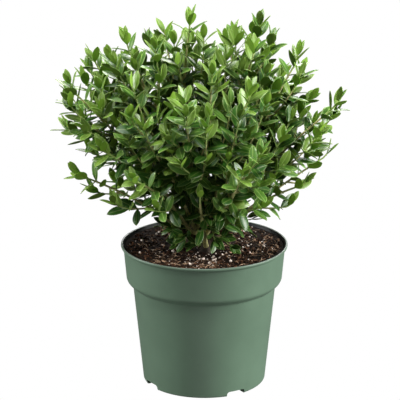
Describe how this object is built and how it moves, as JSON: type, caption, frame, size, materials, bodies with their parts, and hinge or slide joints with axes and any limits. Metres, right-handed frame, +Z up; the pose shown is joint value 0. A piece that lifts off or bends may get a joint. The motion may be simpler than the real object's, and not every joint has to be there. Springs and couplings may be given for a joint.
{
  "type": "potted japanese holly shrub",
  "caption": "Young evergreen shrub with small glossy leaves on many slim upright twigs, growing in a round plastic nursery pot filled with potting soil.",
  "frame": {"origin": "centre of the pot's flat underside, at mount base", "axes": "+Z up along the pot's axis, +X to the right and +Y away from the viewer when the shrub's front is seen"},
  "size_m": [0.3031, 0.2694, 0.3778],
  "materials": {
    "pot": "satin moulded green plastic",
    "potting_soil": "damp composted bark with white perlite grains",
    "bark": "thin grey-brown bark with fine wrinkles",
    "foliage": "glossy evergreen leaves, paler at the young tips"
  },
  "bodies": {
    "root": {"pot": "pot", "potting_soil": "potting_soil", "main_stem": "bark", "bough_crown": "bark", "bough_top_left": "bark", "bough_top_right": "bark", "bough_back_high": "bark", "bough_left_upper": "bark", "bough_left_top": "bark", "bough_left_mid": "bark", "bough_left_high": "bark", "bough_left_low": "bark", "bough_right_high": "bark", "bough_right_top": "bark", "bough_right_mid": "bark", "bough_right_low": "bark", "bough_front_left": "bark", "bough_front_mid": "bark", "bough_front_low_left": "bark", "bough_front_right": "bark", "bough_front_high": "bark", "bough_front_low_right": "bark", "bough_front_low": "bark", "bough_back_left": "bark", "bough_back_low_left": "bark", "bough_back_right": "bark", "bough_back_mid": "bark", "bough_back_low_right": "bark", "foliage_crown": "foliage", "foliage_top_left": "foliage", "foliage_top_right": "foliage", "foliage_back_high": "foliage", "foliage_left_upper": "foliage", "foliage_left_top": "foliage", "foliage_left_mid": "foliage", "foliage_left_high": "foliage", "foliage_left_low": "foliage", "foliage_right_high": "foliage", "foliage_right_top": "foliage", "foliage_right_mid": "foliage", "foliage_right_low": "foliage", "foliage_front_left": "foliage", "foliage_front_mid": "foliage", "foliage_front_low_left": "foliage", "foliage_front_right": "foliage", "foliage_front_high": "foliage", "foliage_front_low_right": "foliage", "foliage_front_low": "foliage", "foliage_back_left": "foliage", "foliage_back_low_left": "foliage", "foliage_back_right": "foliage", "foliage_back_mid": "foliage", "foliage_back_low_right": "foliage"}
  },
  "joints": []
}
